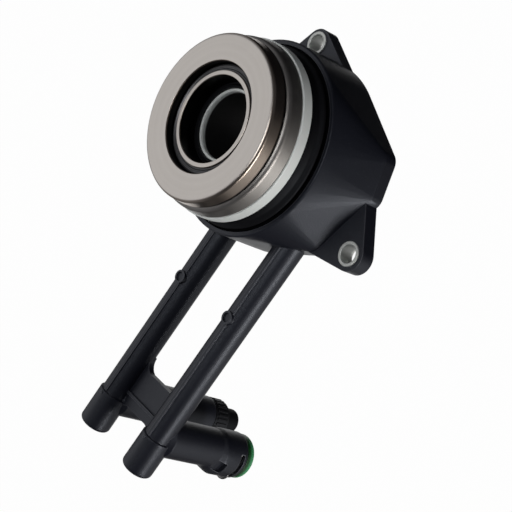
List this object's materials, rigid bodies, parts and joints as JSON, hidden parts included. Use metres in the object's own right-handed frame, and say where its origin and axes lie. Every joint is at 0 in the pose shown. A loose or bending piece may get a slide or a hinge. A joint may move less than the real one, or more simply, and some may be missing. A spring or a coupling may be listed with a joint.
{
  "type": "concentric slave cylinder",
  "caption": "Hydraulic clutch release unit: ring piston and thrust bearing in a moulded body with bolt ears, two fluid tubes joined by a web, a clipped feed port and a bleed port.",
  "frame": {"origin": "centre of the mounting face, on the bearing axis", "axes": "+Z along the bearing axis from the mounting face to the thrust face, -Y along the fluid tubes, ports along -Z"},
  "size_m": [0.0916, 0.1663, 0.1023],
  "materials": {
    "moulding": "fine grained black glass-filled nylon",
    "bright_steel": "ground and polished bearing steel",
    "pressed_steel": "drawn sheet steel",
    "zinc": "pale zinc plating",
    "dull_steel": "plain turned steel",
    "spring_steel": "oiled spring wire",
    "ball_steel": "polished bearing balls",
    "rubber": "matt black rubber",
    "inner_plastic": "dark moulded plastic",
    "green_plastic": "bright green polyethylene"
  },
  "bodies": {
    "body": {"housing": "moulding", "guide_sleeve": "zinc", "sleeve_o_ring": "rubber", "input_shaft_seal": "rubber", "shaft_seal_spring": "spring_steel", "mounting_o_ring": "rubber", "upper_ear_bush": "dull_steel", "lower_ear_bush": "dull_steel", "feed_tube_plug": "dull_steel", "bleed_tube_plug": "dull_steel", "feed_line_seal": "rubber", "feed_port_plug": "green_plastic", "preload_spring": "spring_steel", "dust_boot": "rubber"},
    "piston_group": {"piston": "inner_plastic", "piston_seal": "rubber", "wiper_seal": "rubber", "centring_spring": "spring_steel", "bearing_cover": "pressed_steel", "spring_seat": "zinc", "race_ring": "bright_steel", "bearing_inner_seal": "rubber"},
    "thrust_ring": {"thrust_ring": "bright_steel"},
    "ball_set": {"ball_cage": "inner_plastic", "bearing_balls": "ball_steel"},
    "line_clip": {"feed_line_clip": "spring_steel"},
    "bleed_screw": {"bleed_screw": "inner_plastic", "bleed_seal": "rubber", "bleed_cap": "rubber"}
  },
  "joints": [
    {"name": "release_slide", "type": "slide", "parent": "body", "child": "piston_group", "axis": [0, 0, 1], "range_m": [-0.0065, 0.005], "stiffness_N_per_m": 6000, "springref_m": 0.0005, "deforming": ["preload_spring", "dust_boot"]},
    {"name": "thrust_spin", "type": "hinge", "parent": "piston_group", "child": "thrust_ring", "pos_m": [0, 0, 0.045], "axis": [0, 0, 1], "continuous": true},
    {"name": "cage_spin", "type": "hinge", "parent": "piston_group", "child": "ball_set", "pos_m": [0, 0, 0.0396], "axis": [0, 0, 1], "continuous": true},
    {"name": "bleed_screw_turn", "type": "hinge", "parent": "body", "child": "bleed_screw", "pos_m": [-0.0026, -0.111, -0.0415], "axis": [0, 0, 1], "range_deg": [0, 180]},
    {"name": "line_clip_slide", "type": "slide", "parent": "body", "child": "line_clip", "axis": [0, -1, 0], "range_m": [0, 0.004]}
  ],
  "couplings": [
    {"joint": "cage_spin", "follows": "thrust_spin", "ratio": 0.5}
  ]
}
